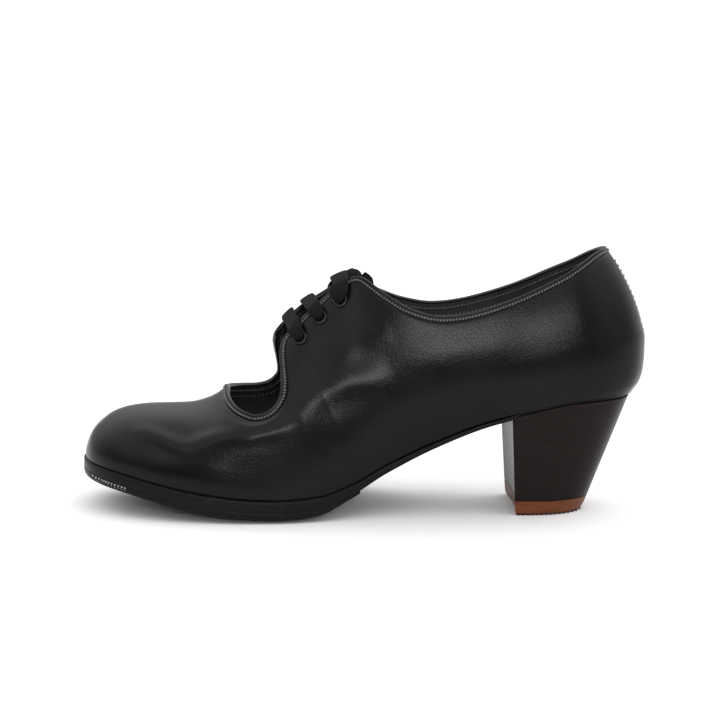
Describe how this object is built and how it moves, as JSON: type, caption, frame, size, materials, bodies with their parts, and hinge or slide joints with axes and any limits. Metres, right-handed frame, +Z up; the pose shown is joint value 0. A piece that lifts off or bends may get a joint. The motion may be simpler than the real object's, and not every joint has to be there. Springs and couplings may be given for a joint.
{
  "type": "flamenco shoe",
  "caption": "Black leather lace-up dance shoe with scooped cut-outs beside the throat, a layered leather sole and a tapered wooden block heel.",
  "frame": {"origin": "bottom centre of the whole shoe, on the floor", "axes": "+X from the toe to the back of the heel, +Z up, -Y toward the inner side of the foot"},
  "size_m": [0.2484, 0.0828, 0.1174],
  "materials": {
    "upper": "satin black, fine grain",
    "insole": "matt black lining",
    "sole": "black edge dye, waxed",
    "heel": "dark stain, polished",
    "lift": "red-brown, burnished",
    "eyelet": "gloss black",
    "lace": "woven, matt black"
  },
  "bodies": {
    "root": {"upper": "upper", "insole": "insole", "outsole": "sole", "half_sole": "sole", "heel": "heel", "heel_lift": "lift", "eyelet_near_1": "eyelet", "eyelet_near_2": "eyelet", "eyelet_near_3": "eyelet", "eyelet_far_1": "eyelet", "eyelet_far_2": "eyelet", "eyelet_far_3": "eyelet", "lace_bar_1": "lace", "lace_bar_2": "lace", "lace_bar_3": "lace", "lace_knot": "lace", "lace_end_near": "lace", "lace_end_far": "lace"}
  },
  "joints": []
}
